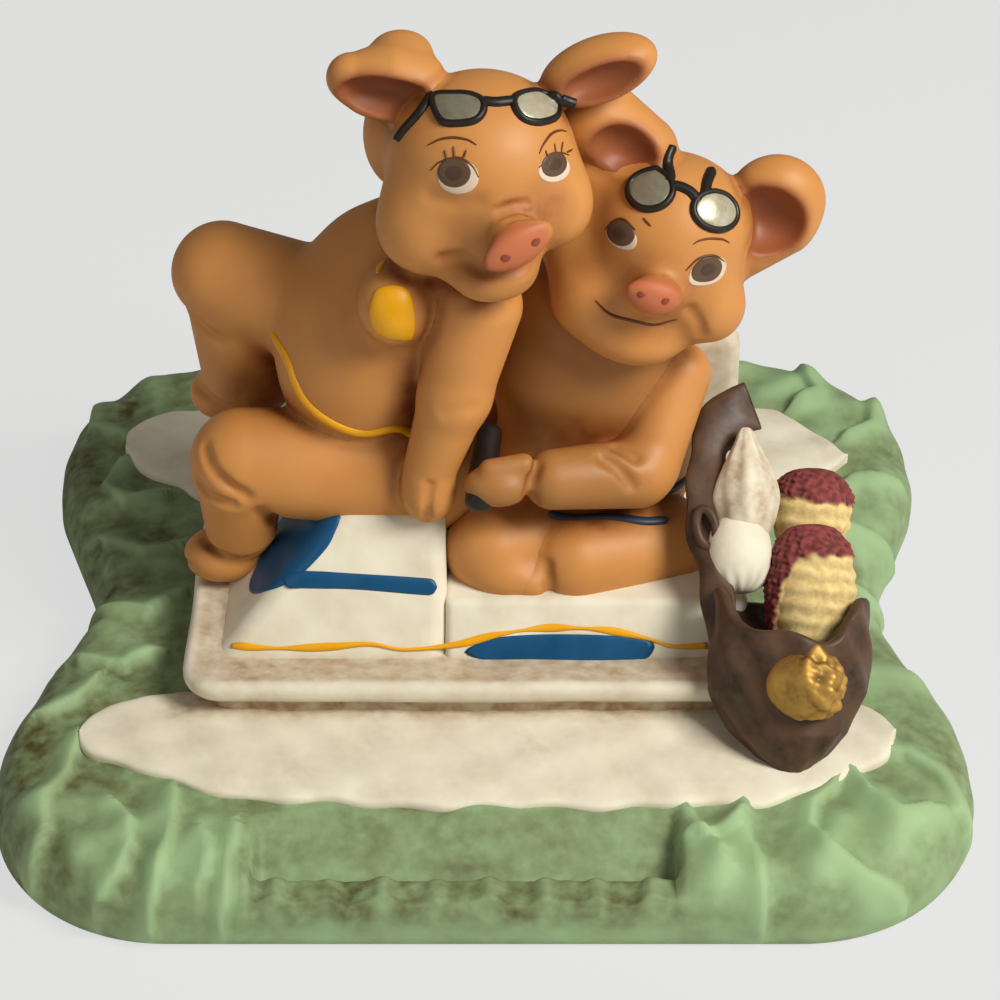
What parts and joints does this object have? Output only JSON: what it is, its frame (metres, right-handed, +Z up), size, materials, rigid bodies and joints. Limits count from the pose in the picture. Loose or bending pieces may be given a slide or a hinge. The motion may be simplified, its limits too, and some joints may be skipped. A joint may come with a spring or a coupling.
{
  "type": "pig figurine",
  "caption": "Painted resin ornament of two pigs in swimwear seated on a personal watercraft, with a beach bag, on a sculpted base of green water that stands on a flat underside.",
  "frame": {"origin": "on the flat underside of the base, below the middle line of the craft", "axes": "+Z up, +X along the watercraft from bow to stern, -Y towards the viewer of the picture"},
  "size_m": [0.1416, 0.1345, 0.108],
  "materials": {
    "water_green": "matte sea-green paint with darker washed hollows",
    "foam_white": "matte off-white paint, thin and soiled at the edges",
    "craft_white": "matte off-white paint with a brown wash",
    "grip_black": "matte black paint",
    "pig_skin": "matte flesh paint, darker in the creases",
    "bikini_yellow": "satin yellow paint",
    "trunks_navy": "matte navy paint",
    "frame_black": "satin black paint",
    "lens_silver": "silver-grey paint",
    "bag_brown": "matte brown paint",
    "clasp_gold": "gold paint",
    "towel_cream": "cream paint with dark red terry bands",
    "towel_white": "matte white paint"
  },
  "bodies": {
    "root": {"water_base": "water_green", "front_foam": "foam_white", "rear_foam": "foam_white", "hull": "craft_white", "cowl": "craft_white", "seat": "craft_white", "seat_back": "craft_white", "handlebar_grip": "grip_black", "girl_torso": "pig_skin", "girl_head": "pig_skin", "girl_right_ear": "pig_skin", "girl_left_ear": "pig_skin", "girl_left_leg": "pig_skin", "girl_right_leg": "pig_skin", "girl_bikini_cup": "bikini_yellow", "girl_left_arm": "pig_skin", "girl_right_arm": "pig_skin", "girl_waist_string": "bikini_yellow", "girl_glasses_frame": "frame_black", "girl_glasses_lenses": "lens_silver", "boy_torso": "pig_skin", "boy_head": "pig_skin", "boy_left_ear": "pig_skin", "boy_right_ear": "pig_skin", "boy_left_leg": "pig_skin", "boy_right_leg": "pig_skin", "boy_left_arm": "pig_skin", "boy_right_arm": "pig_skin", "boy_waistband": "trunks_navy", "boy_glasses_frame": "frame_black", "boy_glasses_lenses": "lens_silver", "beach_bag": "bag_brown", "bag_clasp": "clasp_gold", "striped_towel": "towel_cream", "rolled_towel": "towel_cream", "white_towel": "towel_white", "bag_flap": "bag_brown"}
  },
  "joints": []
}
